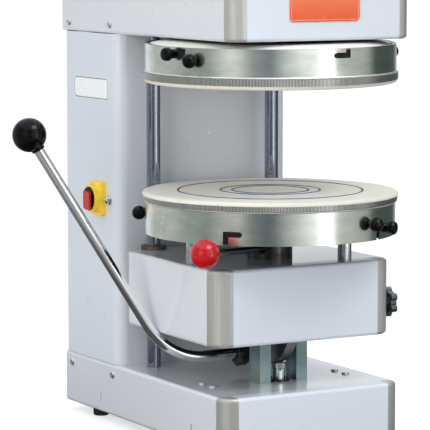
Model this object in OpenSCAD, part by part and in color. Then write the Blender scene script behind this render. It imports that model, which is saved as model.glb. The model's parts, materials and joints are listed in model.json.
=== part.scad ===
// Pizza dough press: base, column and head, a lever-lifted carriage with a
// cloth-covered lower plate, and a motor-driven nutating upper plate.
// Units are mm. The work axis is x = 0, y = 0 before "place"; +Y is the back.

/* [Cabinet] */
// Width of base, column, carriage and head
body_w = 342; // [300:1:400]
// Foot height under the base
foot_h = 15; // [8:1:30]
// Base: height of the box
base_h = 92; // [70:1:120]
// Base: reach in front of the work axis
base_front = 145; // [130:1:180]
// Base: reach behind the column's front face
base_tail = 202; // [190:1:240]
// Column: front face behind the guide rods
column_gap = 34; // [30:1:50]
// Column: depth
column_d = 200; // [180:1:220]
// Column: radius of the front bends
column_r = 20; // [8:1:22]
// Height of the head's underside
head_z = 682; // [670:1:720]
// Head: height of the box
head_h = 118; // [110:1:160]
// Head: reach in front of the work axis
head_front = 170; // [150:1:200]
// Head: reach behind the column's front face
head_tail = 210; // [205:1:250]
// Radius of the corner posts on base and head
corner_r = 27; // [20:1:32]
// Sheet thickness of the covers
sheet = 2.5; // [1.5:0.1:3]
// Outer bend radius of the covers
bend_r = 6; // [4:0.5:8]
// Width of the turned-in lips
lip = 25; // [15:1:26]

/* [Carriage] */
// Height of the carriage underside at rest
car_z = 185; // [180:1:190]
// Carriage height
car_h = 127; // [120:1:140]
// Carriage: reach in front of the work axis
car_front = 119; // [117:1:140]
// Carriage: reach behind the guide rods
car_tail = 23; // [22:1:28]
// Radius of the carriage corner posts
car_corner_r = 32; // [28:1:34]
// Guide rod radius
rod_r = 12; // [10:0.5:12]
// Guide rod distance from the cabinet's side
rod_inset = 53; // [50:1:60]
// Gap between the cloth rings' wall and the guide rods
ring_clear = 5; // [4.5:0.5:10]
// Running clearance of shafts in their bushes
run_gap = 0.05; // [0.02:0.01:0.1]

/* [Plates] */
// Outer radius of the cloth rings
ring_r = 210; // [205:1:211]
// Wall of the cloth rings
ring_t = 3; // [2:0.5:4]
// Height of the lower ring's bottom edge
low_z = 356; // [352:1:360]
// Lower ring: edge to bead
low_skirt = 54; // [48:1:58]
// Gap between the upper ring and the head
up_gap = 8.5; // [8:0.5:14]
// Upper ring: edge to bead
up_skirt = 46; // [42:1:50]
// Width of the clamp bands
band_h = 11; // [8:1:12]
// Cloth thickness
cloth_t = 1.6; // [1:0.1:2]
// Depth of the cone under the upper plate
cone_h = 16; // [10:1:20]
// Offset of the cone's tip from the plate's middle
cone_off = 46; // [0:1:60]
// Tilt of the upper plate on its inclined journal
tilt = 0.8; // [0:0.1:1.2]
// Upper plate: direction of the low side at rest, degrees
tilt_dir = 239; // [0:1:359]
// Side label width
label_w = 132; // [80:1:134]
// Side label height
label_h = 39; // [25:1:50]
// Bayonet pin radius
pin_r = 4; // [3:0.5:5]
// Bayonet slot half width
slot_r = 4.6; // [4.5:0.1:6]
// Twist that frees the bayonet, degrees
twist = 6.2; // [5:0.1:8]
// Gap between parts that move past each other
free_gap = 0.4; // [0.3:0.1:1]

/* [Lever] */
// Carriage lift over the lever's travel
lift = 154; // [140:1:156]
// Lever travel, degrees
swing = 90; // [85:1:100]
// Distance of the lift post in front of the work axis
post_y = 28.5; // [20:0.5:36]
// Lift post radius
post_r = 12; // [9:0.5:14]
// Height of the lever shaft at rest
shaft_z = 140.6; // [138:0.1:146]
// Lever shaft radius
shaft_r = 9.5; // [8.5:0.5:11]
// Lever rod radius
lever_r = 9; // [7:0.5:9]
// Backward lean of the lever at rest, degrees
lever_lean = 10; // [0:1:15]
// Lever corner: distance inside the cabinet's side
lever_inset = 14; // [13:0.5:17]
// Lever ball: distance outside the cabinet's side
lever_out = 209; // [180:1:230]
// Lever ball: distance from the shaft axis
lever_reach = 389; // [350:1:400]
// Lever bend radius
lever_bend = 120; // [100:1:125]
// Lever ball radius
lever_ball_r = 28.5; // [22:0.5:30]

/* [Adjuster] */
// Adjuster ball: distance outside the cloth ring
adj_out = 62; // [58:1:70]
// Adjuster ball: direction, degrees
adj_angle = 217; // [210:1:225]
// Adjuster ball: height
adj_ball_z = 349; // [345:1:352]
// Adjuster ball radius
adj_ball_r = 23.5; // [20:0.5:25]
// Hub radius
hub_r = 38; // [36:1:42]

/* [Drive] */
// Motor axis behind the column's front face
motor_back = 100; // [90:1:105]
// Motor length
motor_len = 186; // [150:1:220]
// Motor body radius
motor_r = 69; // [55:1:72]
// Spindle radius
spindle_r = 12.5; // [10:0.5:13]
// Groove radius of the large pulley
pulley_r = 90; // [70:1:100]
// Groove radius of the motor pulley
motor_pulley_r = 27; // [22:1:35]

/* [Hidden] */
$fn = 96;
W = body_w/2;
rod_x = W - rod_inset;
rod_y = sqrt(pow(ring_r + ring_clear + rod_r, 2) - rod_x*rod_x);
column_front = rod_y + column_gap;
base_back = column_front + base_tail;
head_back = column_front + head_tail;
car_back = rod_y + car_tail;
chassis_w = W - 21;
motor_y = column_front + motor_back;
up_z = head_z - up_gap;
lever_corner = W - lever_inset;
lever_ball_x = W + lever_out;
adj_reach = ring_r + adj_out;
base_z1 = foot_h + base_h;
car_z1 = car_z + car_h;
head_z1 = head_z + head_h;
cam_r = lift*180/(swing*PI);
shaft_y = cam_r - post_y;
root_r = lever_r + 0.6;
spigot_r = shaft_r - 3;
cam_lead = 0.02;
cam_gap = 0.3;
post_top = shaft_z - cam_r*cam_lead - cam_gap;
rim_r = ring_r + 2.5;
low_bead = low_z + low_skirt;
low_edge = low_bead + 1.5 + band_h;
low_face = low_edge + 2;
low_top = low_face + 0.4 + cloth_t;
up_bead = up_z - up_skirt;
up_edge = up_bead - 1.5 - band_h;
up_face = up_edge - 6;
disc_r = ring_r - ring_t - 1;
pivot_z = up_face - cone_h;
chassis_z = car_z + sheet + 0.1;
chassis_t = 10;
pad_top = chassis_z - 0.3;
neck_r = hub_r - 8;
neck_z = car_z1 + 29;
collar_z = car_z1 + 9.4;
belt_z = head_z + 62;
ball_r = 12;
low_knobs = [302.5, 35];
low_pins = [225.6, 124];
low_balls = [289.8, 142];
up_knobs = [191.2, 11.2];
up_pins = [269.4, 89.4];
up_balls = [203.8, 352];
low_ball_z = low_z + 28;
up_ball_z = up_z - 20;
rests = [-3, 60, 126];
rest_d = W - 27;
switch_h = 22;
switch_c = [column_front + 64, base_z1 + 287.5];
x_left = -lever_ball_x - lever_ball_r;
x_right = (ring_r + ball_r + 1.5)*cos(up_balls[1]) + ball_r
    + (up_ball_z - pivot_z)*sin(tilt)*cos(tilt_dir);
y_front = (ring_r + ball_r + 1.5)*sin(low_balls[0]) - ball_r;
origin = [(x_left + x_right)/2, (y_front + head_back)/2];
low_pin_z = low_z + 18;
up_pin_z = up_z - 11;

// Shared shapes

module place() {
    translate([-origin[0], -origin[1], 0]) children();
}

module rounded(w, h, r) {
    translate([-w/2, r]) square([w, h - 2*r]);
    translate([-w/2 + r, 0]) square([w - 2*r, h]);
    for (x = [-w/2 + r, w/2 - r], y = [r, h - r]) translate([x, y]) circle(r);
}

module skin(w, h, r) {
    difference() {
        rounded(w, h, r);
        translate([0, sheet]) rounded(w - 2*sheet, h - 2*sheet, r - sheet);
    }
}

// Folded cover: top, two sides and lips turned in below
module cover(y0, y1, z0, h) {
    translate([0, y1, z0]) rotate([90, 0, 0]) linear_extrude(height = y1 - y0)
        difference() {
            skin(body_w, h, bend_r);
            translate([-W + lip, -1]) square([body_w - 2*lip, sheet + 2]);
        }
}

// Front half of a folded panel, seen along X
module panel_half(d, h, low_lip) {
    difference() {
        intersection() {
            translate([d, 0]) skin(2*d, h, bend_r);
            square([d, h]);
        }
        translate([low_lip, -1]) square([d, sheet + 2]);
    }
}

module face_panel(y0, z0, h, d, low_lip) {
    translate([-W + d, y0, z0]) rotate([90, 0, 90])
        linear_extrude(height = body_w - 2*d) panel_half(d, h, low_lip);
}

// Quarter-round corner post with rounded ends
module corner_post(d, h) {
    rotate_extrude(angle = 90) intersection() {
        skin(2*d, h, bend_r);
        square([d, h]);
    }
}

module front_posts(y0, z0, h, d) {
    translate([-W + d, y0 + d, z0]) rotate([0, 0, 180]) corner_post(d, h);
    translate([W - d, y0 + d, z0]) rotate([0, 0, 270]) corner_post(d, h);
}

// Flat panel that closes the open back end of a cover
module end_panel(y1, z0, h) {
    translate([0, y1, z0 + sheet + 0.2]) rotate([90, 0, 0]) linear_extrude(height = sheet)
        rounded(body_w - 2*sheet - 0.4, h - 2*sheet - 0.4, bend_r - sheet);
}

module tube(r1, r2, z0, z1) {
    translate([0, 0, z0]) difference() {
        cylinder(r = r1, h = z1 - z0);
        translate([0, 0, -1]) cylinder(r = r2, h = z1 - z0 + 2);
    }
}

module at_rods() {
    for (s = [-1, 1]) translate([s*rod_x, rod_y, 0]) children();
}

// Stands a radial part at angle a and height z, pointing away from the axis
module radial(a, z) {
    rotate([0, 0, a]) translate([0, 0, z]) rotate([0, 90, 0]) children();
}

module plank(x0, x1, y0, y1, z0, z1) {
    translate([x0, y0, z0]) cube([x1 - x0, y1 - y0, z1 - z0]);
}

// Tilts the upper plate about the tip of its cone
module tilted() {
    translate([0, 0, pivot_z]) rotate([0, 0, tilt_dir]) rotate([0, tilt, 0]) rotate([0, 0, -tilt_dir])
        translate([0, 0, -pivot_z]) children();
}

// Base

module feet() {
    color([0.08, 0.08, 0.08])
    for (x = [-W + 24, W - 24], y = [-base_front + 40, base_back - 90])
        translate([x, y, 0]) rotate_extrude()
            polygon([[0, 0], [12, 0], [14, 2], [14, foot_h], [0, foot_h]]);
}

module base_cover() {
    color([0.86, 0.87, 0.88])
    difference() {
        cover(-base_front + corner_r, base_back, foot_h, base_h);
        at_rods() translate([0, 0, base_z1 - 10]) cylinder(r = rod_r + 1, h = 20);
        for (s = [-1, 1], y = [-34, column_front + 65])
            plank(s*W - 4, s*W + 4, y - 2, y + 2, foot_h + 20, foot_h + 34);
    }
}

module base_front_panel() {
    color([0.88, 0.89, 0.91]) face_panel(-base_front, foot_h, base_h, corner_r, corner_r);
}

module base_posts() {
    color([0.72, 0.71, 0.68]) front_posts(-base_front, foot_h, base_h, corner_r);
}

module base_floor() {
    color([0.6, 0.61, 0.62])
    plank(-W + bend_r, W - bend_r, -base_front + corner_r, base_back - sheet - 0.3,
        foot_h + sheet, foot_h + 2*sheet);
}

module base_chassis() {
    color([0.35, 0.36, 0.38])
    difference() {
        union() {
            plank(-chassis_w, chassis_w, -post_y - 42, rod_y + 26, base_z1 - sheet - 12, base_z1 - sheet);
            at_rods() translate([0, 0, base_z1 - 46]) cylinder(r = 24, h = 40);
        }
        at_rods() translate([0, 0, base_z1 - 40]) cylinder(r = rod_r + run_gap, h = 60);
    }
}

module guide_rods() {
    color([0.75, 0.76, 0.78])
    at_rods() translate([0, 0, base_z1 - 38]) cylinder(r = rod_r, h = head_z + 22 - base_z1 + 38);
}

module rest_blocks() {
    color([0.62, 0.64, 0.6])
    for (s = [-1, 1]) translate([s*35.5, -post_y, 0])
        plank(-10.5, 10.5, -17.5, 17.5, base_z1, pad_top - 4);
}

module rest_pads() {
    color([0.07, 0.07, 0.07])
    for (s = [-1, 1]) translate([s*35.5, -post_y, 0])
        plank(-9, 9, -15, 15, pad_top - 4, pad_top);
}

module lift_post() {
    color([0.8, 0.81, 0.82])
    translate([0, -post_y, base_z1]) rotate_extrude()
        polygon([[0, 0], [post_r, 0], [post_r, post_top - base_z1 - 11],
            [post_r + 1, post_top - base_z1 - 10], [post_r + 1, post_top - base_z1 - 1],
            [post_r, post_top - base_z1], [0, post_top - base_z1]]);
}

module post_flange() {
    color([0.12, 0.12, 0.13])
    translate([0, -post_y, base_z1]) {
        tube(post_r + 7, post_r + run_gap, 0, 4);
        for (a = [45:90:315]) rotate([0, 0, a]) translate([post_r + 4, 0, 2]) cylinder(r = 2.6, h = 5);
    }
}

// Column and head

module column_shell() {
    color([0.8, 0.81, 0.83])
    translate([0, column_front + column_d, base_z1]) linear_extrude(height = head_z - base_z1)
        rotate(180) difference() {
            union() {
                intersection() {
                    skin(body_w, column_d, 8);
                    translate([-W - 1, -1]) square([body_w + 2, column_d/2 + 2]);
                }
                intersection() {
                    skin(body_w, column_d, column_r);
                    translate([-W - 1, column_d/2]) square([body_w + 2, column_d/2 + 1]);
                }
            }
            translate([-W + lip, -1]) square([body_w - 2*lip, sheet + 2]);
        }
}

module head_cover() {
    color([0.84, 0.85, 0.87]) cover(-head_front + corner_r, head_back, head_z, head_h);
}

module head_front_panel() {
    color([0.88, 0.89, 0.92]) face_panel(-head_front, head_z, head_h, corner_r, corner_r);
}

module head_posts() {
    color([0.72, 0.71, 0.68]) front_posts(-head_front, head_z, head_h, corner_r);
}

module head_floor() {
    color([0.55, 0.56, 0.58])
    difference() {
        plank(-W + bend_r, W - bend_r, -head_front + corner_r, column_front,
            head_z + sheet, head_z + 2*sheet);
        translate([0, 0, head_z]) cylinder(r = 58, h = 20);
        at_rods() translate([0, 0, head_z]) cylinder(r = rod_r + 1, h = 20);
    }
}

module back_panels() {
    color([0.8, 0.81, 0.82]) {
        end_panel(head_back, head_z, head_h);
        difference() {
            end_panel(base_back, foot_h, base_h);
            for (x = [-100:20:100])
                plank(x - 4, x + 4, base_back - 5, base_back + 1, foot_h + 25, foot_h + 60);
        }
        difference() {
            plank(-W + 6, W - 6, column_front + column_d, column_front + column_d + sheet,
                base_z1 + 4, head_z - 4);
            for (z = [head_z - 122:16:head_z - 42], x = [-90, 10])
                plank(x, x + 80, column_front + column_d - 1, column_front + column_d + 6, z, z + 5);
        }
    }
}

module head_chassis() {
    color([0.35, 0.36, 0.38])
    difference() {
        plank(-chassis_w, chassis_w, -head_front + 60, motor_y + 80, head_z + 8, head_z + 20);
        translate([0, 0, head_z]) cylinder(r = 38, h = 40);
        translate([0, motor_y, head_z]) cylinder(r = 16, h = 40);
        at_rods() translate([0, 0, head_z]) cylinder(r = rod_r + run_gap, h = 40);
    }
}

module front_plate() {
    color([0.9, 0.33, 0.1])
    translate([0, -head_front - 1.5, head_z + 57]) rotate([-90, 0, 0])
        linear_extrude(height = 1.5) translate([0, -26]) rounded(132, 52, 7);
}

module side_label() {
    color([0.95, 0.96, 0.95])
    translate([-W - 0.6, column_front + 97, head_z - 116]) rotate([90, 0, 90]) linear_extrude(height = 0.6)
        rounded(label_w, label_h, 10);
}

module motor() {
    color([0.25, 0.27, 0.3])
    translate([0, motor_y, 0]) {
        translate([0, 0, head_z - 4]) cylinder(r = 60, h = 12);
        translate([0, 0, head_z - 4 - motor_len]) cylinder(r = motor_r - 3, h = motor_len);
        for (a = [0:15:345]) rotate([0, 0, a])
            plank(motor_r - 4, motor_r, -1.5, 1.5, head_z + 6 - motor_len, head_z - 14);
    }
}

module bearing_housing() {
    color([0.45, 0.46, 0.48])
    difference() {
        union() {
            tube(54, spindle_r + 14.6, head_z + 20, head_z + 30);
            tube(36, spindle_r + 14.6, head_z + 4, head_z + 50);
        }
        for (a = [0:60:300]) rotate([0, 0, a]) translate([46, 0, head_z]) cylinder(r = 3.3, h = 60);
    }
}

module spindle_bearings() {
    color([0.7, 0.71, 0.73])
    for (z = [head_z + 6, head_z + 33])
        tube(spindle_r + 14.5, spindle_r + run_gap, z, z + 15);
}

module belt() {
    color([0.1, 0.1, 0.1])
    translate([0, 0, belt_z - 4.5]) linear_extrude(height = 9) difference() {
        hull() {
            circle(pulley_r + 6);
            translate([0, motor_y]) circle(motor_pulley_r + 6, $fn = 48);
        }
        hull() {
            circle(pulley_r + free_gap);
            translate([0, motor_y]) circle(motor_pulley_r + free_gap, $fn = 48);
        }
    }
}

module switch_body() {
    color([0.98, 0.78, 0.1])
    translate([-W, switch_c[0], switch_c[1]]) rotate([0, -90, 0]) difference() {
        union() {
            rotate([0, 0, 90]) translate([0, -29, 0]) linear_extrude(height = 9) rounded(44, 58, 4);
            translate([0, 0, 8]) cylinder(r = 23.5, h = switch_h - 8);
        }
        translate([0, 0, switch_h - 2.6]) cylinder(r = 21, h = 5);
        translate([0, 0, switch_h - 12]) cylinder(r = 5 + free_gap, h = 20);
        for (x = [-23.5, 23.5], y = [-16.5, 16.5]) translate([x, y, 5]) cylinder(r = 2.4, h = 5);
    }
}

module switch_disc() {
    color([0.05, 0.05, 0.06])
    translate([-W - switch_h + 2.6 - free_gap, switch_c[0], switch_c[1]]) rotate([0, -90, 0]) {
        cylinder(r = 20.4, h = 4);
        translate([0, 0, -6]) cylinder(r = 5, h = 8);
    }
}

module switch_handle() {
    color([0.75, 0.1, 0.1])
    translate([-W - switch_h - 1.4 - free_gap, switch_c[0], switch_c[1]]) rotate([0, -90, 0]) intersection() {
        cylinder(r1 = 20, r2 = 18.8, h = 4.5);
        plank(-30, 13, -11, 11, -1, 6);
    }
}

module cover_bolt() {
    color([0.75, 0.76, 0.78])
    translate([-W, column_front + 28, switch_c[1] - 1]) rotate([0, -90, 0]) {
        cylinder(r = 8.5, h = 2);
        translate([0, 0, 2]) cylinder(r = 7, h = 5, $fn = 6);
        translate([0, 0, 7]) cylinder(r1 = 5.5, r2 = 2.5, h = 3);
    }
}

module side_screw(k = 1) {
    difference() {
        cylinder(r1 = 6.5*k, r2 = 5*k, h = 3*k);
        translate([0, 0, 1.4*k]) cylinder(r = 2.2*k, h = 3*k);
    }
}

module panel_screws() {
    color([0.55, 0.56, 0.58]) {
        for (y = [column_front + 20, column_front + 177]) {
            translate([-W, y, base_z1 - 19]) rotate([0, -90, 0]) side_screw();
            translate([W, y, base_z1 - 19]) rotate([0, 90, 0]) side_screw();
            translate([-W, y + 5, head_z + 16]) rotate([0, -90, 0]) side_screw();
            translate([W, y + 5, head_z + 16]) rotate([0, 90, 0]) side_screw();
        }
        for (s = [-1, 1], y = [-post_y - 5, -post_y + 29]) translate([s*(W - 41), y, base_z1]) side_screw();
        for (s = [-1, 1], z = [base_z1 + 23, (base_z1 + head_z)/2, head_z - 24])
            translate([s*(W - 16), column_front + column_d + sheet, z]) rotate([-90, 0, 0]) side_screw();
        translate([9, column_front, head_z - 176]) rotate([90, 0, 0]) side_screw(0.6);
    }
}

// Carriage

module carriage_cover() {
    color([0.84, 0.85, 0.86])
    difference() {
        cover(-car_front + car_corner_r, car_back - car_corner_r, car_z, car_h);
        at_rods() translate([0, 0, car_z1 - 10]) cylinder(r = rod_r + 5.2, h = 20);
    }
}

module carriage_front_panel() {
    color([0.88, 0.89, 0.92]) face_panel(-car_front, car_z, car_h, car_corner_r, bend_r);
}

module carriage_back_panel() {
    color([0.84, 0.85, 0.86])
    difference() {
        translate([0, car_back, 0]) mirror([0, 1, 0]) face_panel(0, car_z, car_h, car_corner_r, bend_r);
        at_rods() translate([0, 0, car_z1 - 10]) cylinder(r = rod_r + 5.2, h = 20);
    }
}

module carriage_posts() {
    color([0.72, 0.71, 0.68]) {
        front_posts(-car_front, car_z, car_h, car_corner_r);
        translate([W - car_corner_r, car_back - car_corner_r, car_z]) corner_post(car_corner_r, car_h);
        translate([-W + car_corner_r, car_back - car_corner_r, car_z]) rotate([0, 0, 90])
            corner_post(car_corner_r, car_h);
    }
}

module carriage_chassis() {
    color([0.16, 0.17, 0.18])
    difference() {
        union() {
            plank(-W + bend_r, W - bend_r, -car_front + car_corner_r, car_back - car_corner_r,
                chassis_z, chassis_z + chassis_t);
            at_rods() translate([0, 0, chassis_z + 5])
                cylinder(r = rod_r + 8, h = car_z1 - 8 - chassis_z - 5);
        }
        plank(-24.6, 24.6, -car_front, shaft_y + 26, chassis_z - 1, chassis_z + chassis_t + 1);
        at_rods() translate([0, 0, chassis_z - 1]) cylinder(r = rod_r + 5 + run_gap, h = car_h);
    }
}

module bronze_bushes() {
    color([0.6, 0.45, 0.28]) {
        at_rods() {
            tube(rod_r + 5, rod_r + run_gap, car_z + 4, car_z1);
            tube(22.3, rod_r + run_gap, car_z1, car_z1 + 7);
        }
        for (s = [-1, 1]) translate([s*18 - 6, shaft_y, shaft_z]) rotate([0, 90, 0])
            tube(shaft_r + 3, shaft_r + run_gap, 0, 12);
    }
}

module shaft_brackets() {
    color([0.09, 0.09, 0.1])
    for (s = [-1, 1]) difference() {
        union() {
            plank(min(s*12, s*24), max(s*12, s*24), shaft_y - 22, shaft_y + 22,
                shaft_z, chassis_z + chassis_t + 10);
            translate([s*18, shaft_y, shaft_z]) rotate([0, 90, 0]) cylinder(r = 22, h = 12, center = true);
            plank(min(s*24, s*46), max(s*24, s*46), shaft_y - 22, shaft_y + 22,
                chassis_z + chassis_t, chassis_z + chassis_t + 10);
        }
        translate([s*18, shaft_y, shaft_z]) rotate([0, 90, 0])
            cylinder(r = shaft_r + 3 + run_gap, h = 20, center = true);
    }
}

module plate_hub() {
    color([0.05, 0.05, 0.06])
    difference() {
        translate([0, 0, car_z1]) {
            cylinder(r = hub_r, h = 9);
            cylinder(r = neck_r, h = neck_z - car_z1);
        }
        translate([0, 0, car_z1 + 3]) cylinder(r = spindle_r + free_gap + 4, h = 60);
    }
}

module plate_rests() {
    color([0.75, 0.76, 0.78])
    for (a = rests) rotate([0, 0, a]) translate([rest_d, 0, car_z1]) rotate_extrude()
        polygon([[0, 0], [12, 0], [12, 18], [10.5, 19.5], [10.5, 20.5], [11.5, 22],
            [11.5, low_z - car_z1 - 4], [6.5, low_z - car_z1 - 3.5], [6.5, low_z - car_z1 + 22],
            [5.5, low_z - car_z1 + 23], [0, low_z - car_z1 + 23]]);
}

module star_knob() {
    color([0.5, 0.51, 0.53])
    translate([W, -car_front + 32, car_z + 50]) rotate([0, 90, 0]) {
        translate([0, 0, free_gap]) cylinder(r = 12, h = 4);
        translate([0, 0, 3]) linear_extrude(height = 11) {
            circle(20);
            for (a = [0:60:300]) rotate(a) translate([19, 0]) circle(6.5);
        }
        translate([0, 0, 12]) cylinder(r1 = 16, r2 = 11, h = 4);
    }
}

// Lever

lever_turn = atan((lever_reach)/(lever_ball_x - lever_corner));
lever_tan = lever_bend*tan(lever_turn/2);
lever_len = norm([lever_ball_x - lever_corner, lever_reach]) - lever_tan;

module lever_frame() {
    translate([0, shaft_y, shaft_z]) rotate([-lever_lean, 0, 0]) children();
}

module lever_rod() {
    color([0.78, 0.79, 0.8])
    lever_frame() {
        translate([-lever_corner + lever_tan - 4, 0, 0]) rotate([0, 90, 0])
            cylinder(r = root_r, h = lever_corner - lever_tan - 44.5);
        translate([-50, 0, 0]) rotate([0, 90, 0]) cylinder(r = spigot_r, h = 20);
        translate([-lever_corner + lever_tan, 0, lever_bend]) rotate([90, 0, 0])
            rotate([0, 0, -90 - lever_turn]) {
                rotate_extrude(angle = lever_turn) translate([lever_bend, 0]) circle(lever_r, $fn = 48);
                translate([lever_bend, 0, 0]) rotate([90, 0, 0]) cylinder(r = lever_r, h = lever_len - 14);
            }
    }
}

module lever_ball() {
    color([0.04, 0.04, 0.05])
    lever_frame() translate([-lever_ball_x, 0, lever_reach]) rotate([0, lever_turn - 90, 0]) difference() {
        union() {
            sphere(r = lever_ball_r);
            translate([0, 0, -lever_ball_r - 1]) cylinder(r = lever_r + 2.5, h = 10);
        }
        translate([0, 0, -lever_ball_r - 10]) cylinder(r = lever_r + run_gap, h = lever_ball_r - 4);
    }
}

module lever_shaft() {
    color([0.72, 0.73, 0.75])
    translate([0, shaft_y, shaft_z]) rotate([0, 90, 0]) difference() {
        translate([0, 0, -48]) cylinder(r = shaft_r, h = 82);
        translate([0, 0, -49]) cylinder(r = spigot_r + run_gap, h = 19.5);
    }
}

// Involute profile: the lift follows the lever angle in proportion
function cam_at(a) = cam_r*[cos(a) + (cam_lead + a*PI/180)*sin(a), sin(a) - (cam_lead + a*PI/180)*cos(a)];

module lift_cam() {
    color([0.4, 0.41, 0.43])
    translate([0, shaft_y, shaft_z]) rotate([90, 0, -90]) difference() {
        union() {
            linear_extrude(height = 18, center = true) polygon(concat(
                [[-13, 12], [12, -13], [cam_r*0.7, 1]],
                [for (i = [0:36]) cam_at(i*(swing + 1)/36)]));
            cylinder(r = 18, h = 22, center = true);
        }
        cylinder(r = shaft_r + run_gap, h = 40, center = true);
        translate([cam_r*0.82, cam_r*0.72, 0]) cylinder(r = 20, h = 40, center = true);
        translate([cam_r*0.45, cam_r*0.36, 0]) cylinder(r = 13, h = 40, center = true);
    }
}

// Dough thickness adjuster

adj_root = [48, collar_z + 9.5];
adj_rise = atan((adj_ball_z - adj_root[1])/(adj_reach - adj_root[0]));
adj_len = (adj_reach - adj_root[0])/cos(adj_rise);

module adj_frame() {
    rotate([0, 0, adj_angle]) translate([adj_root[0], 0, adj_root[1]])
        rotate([0, 90 - adj_rise, 0]) children();
}

module adjust_collar() {
    color([0.06, 0.06, 0.07])
    difference() {
        union() {
            tube(hub_r, neck_r + free_gap, collar_z, neck_z + 4 - 0.3);
            difference() {
                adj_frame() translate([0, 0, -12]) cylinder(r = 7.5, h = 20);
                cylinder(r = hub_r - 2, h = 500);
            }
        }
        adj_frame() cylinder(r = 5.5 + run_gap, h = 40);
    }
}

module adjust_rod() {
    color([0.75, 0.76, 0.78])
    adj_frame() {
        cylinder(r = 5.5, h = adj_len - 10);
        translate([0, 0, adj_len - adj_ball_r - 9]) cylinder(r = 9, h = 8, $fn = 6);
    }
}

module adjust_ball() {
    color([0.85, 0.06, 0.08])
    adj_frame() difference() {
        translate([0, 0, adj_len]) sphere(r = adj_ball_r);
        cylinder(r = 5.5 + run_gap, h = adj_len - 9);
    }
}

// Plates. Each is a pan, drawn with its working face at height "face"; dir is +1 for the
// lower plate, whose face looks up, and -1 for the upper plate.

module pan(face, back, dir) {
    difference() {
        translate([0, 0, min(face, back)]) cylinder(r = disc_r, h = abs(face - back));
        translate([0, 0, dir > 0 ? back + 7 : face + 9]) cylinder(r = disc_r - 7, h = abs(face - back) - 16);
        translate([0, 0, dir > 0 ? back - 1 : back - 8]) cylinder(r = 112, h = 9);
    }
}

// Clamp knob on its stud, along +Z from the plate's wall
module clamp_knob() {
    translate([0, 0, disc_r]) cylinder(r = pin_r, h = 6);
    translate([0, 0, ring_r + free_gap]) cylinder(r = 7.5, h = 5);
    translate([0, 0, ring_r + 5]) cylinder(r = 6, h = 7);
    translate([0, 0, ring_r + 9]) rotate_extrude()
        polygon([[0, 0], [7.5, 0], [11, 2.5], [11, 8.5], [9.4, 11.4], [5.5, 13], [0, 13.4]]);
}

module bayonet_pin() {
    translate([0, 0, disc_r - 2]) cylinder(r = pin_r, h = ring_r + 1.5 - disc_r + 2);
}

module bayonet_slot(a, z, dir) {
    radial(a, z) translate([0, 0, ring_r - 20]) cylinder(r = slot_r, h = 40);
    rotate([0, 0, dir > 0 ? a - twist : a]) rotate_extrude(angle = twist)
        translate([ring_r - 20, z - slot_r + 0.1]) square([40, 2*slot_r - 0.2]);
    rotate([0, 0, a - dir*twist]) plank(ring_r - 20, ring_r + 20, -slot_r, slot_r,
        dir > 0 ? z - 60 : z - slot_r + 0.3, dir > 0 ? z + slot_r - 0.3 : z + 60);
}

// Section of a cloth ring with a rolled bead, edge at z0
module ring_section(z0, bead, z1) {
    translate([ring_r - ring_t, min(z0, z1)]) square([ring_t, abs(z1 - z0)]);
    translate([ring_r, bead]) circle(1.6, $fn = 24);
}

module ring_ball() {
    translate([0, 0, ring_r - ring_t]) cylinder(r = 4, h = 8);
    translate([0, 0, ring_r + ball_r + 1.5]) sphere(r = ball_r, $fn = 48);
}

module band(z0) {
    tube(rim_r + 0.8, ring_r + cloth_t + 0.2, z0, z0 + band_h);
    rotate([0, 0, 90]) {
        plank(rim_r + 0.6, rim_r + 7, -11, 11, z0 + 0.5, z0 + band_h - 0.5);
        translate([rim_r + 4, 0, z0 + band_h/2]) rotate([90, 0, 0]) cylinder(r = 3, h = 32, center = true);
    }
}

module lower_plate() {
    color([0.8, 0.81, 0.82])
    difference() {
        union() {
            pan(low_face, low_z + 2, 1);
            translate([0, 0, neck_z + 4]) cylinder(r = 44, h = low_face - neck_z - 4);
            translate([0, 0, car_z1 + 5]) cylinder(r = spindle_r, h = 60);
            for (a = low_pins) radial(a, low_pin_z) bayonet_pin();
        }
        for (a = rests) rotate([0, 0, a]) translate([rest_d, 0, low_z]) cylinder(r = 7.2, h = 30);
    }
}

module lower_knobs() {
    color([0.04, 0.04, 0.05])
    for (a = low_knobs) radial(a, low_pin_z) clamp_knob();
}

module lower_ring() {
    color([0.72, 0.74, 0.75])
    difference() {
        rotate_extrude() ring_section(low_z, low_bead, low_edge);
        for (a = concat(low_knobs, low_pins)) bayonet_slot(a, low_pin_z, 1);
        for (a = low_balls) radial(a, low_ball_z) cylinder(r = 4 + run_gap, h = 400);
    }
}

module lower_grips() {
    color([0.04, 0.04, 0.05])
    for (a = low_balls) radial(a, low_ball_z) ring_ball();
}

module lower_cloth() {
    color([0.88, 0.85, 0.77])
    rotate_extrude() {
        translate([0, low_face + 0.4]) square([ring_r - 1.5, cloth_t]);
        translate([ring_r + 0.1, low_bead + 1.8]) square([cloth_t, low_edge - low_bead - 1.6]);
        translate([ring_r - 1.5, low_edge + 0.2]) difference() {
            square([cloth_t + 1.6, low_top - low_edge - 0.2]);
            translate([-1, -1]) square([2.6, low_face + 0.4 - low_edge + 0.8]);
        }
    }
}

module lower_band() {
    color([0.68, 0.7, 0.71]) band(low_bead + 1.7);
}

module upper_spindle() {
    color([0.6, 0.61, 0.63]) {
        translate([0, 0, up_z + 4]) cylinder(r = spindle_r, h = head_z + 92 - up_z - 4);
        tilted() translate([0, 0, up_z - 30]) cylinder(r = 11, h = 33);
        translate([0, 0, up_z + 2]) cylinder(r = 20, h = 5);
        difference() {
            translate([0, 0, belt_z - 9]) cylinder(r = pulley_r + 5, h = 18);
            tube(pulley_r + 20, pulley_r, belt_z - 5, belt_z + 5);
        }
    }
}

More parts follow.
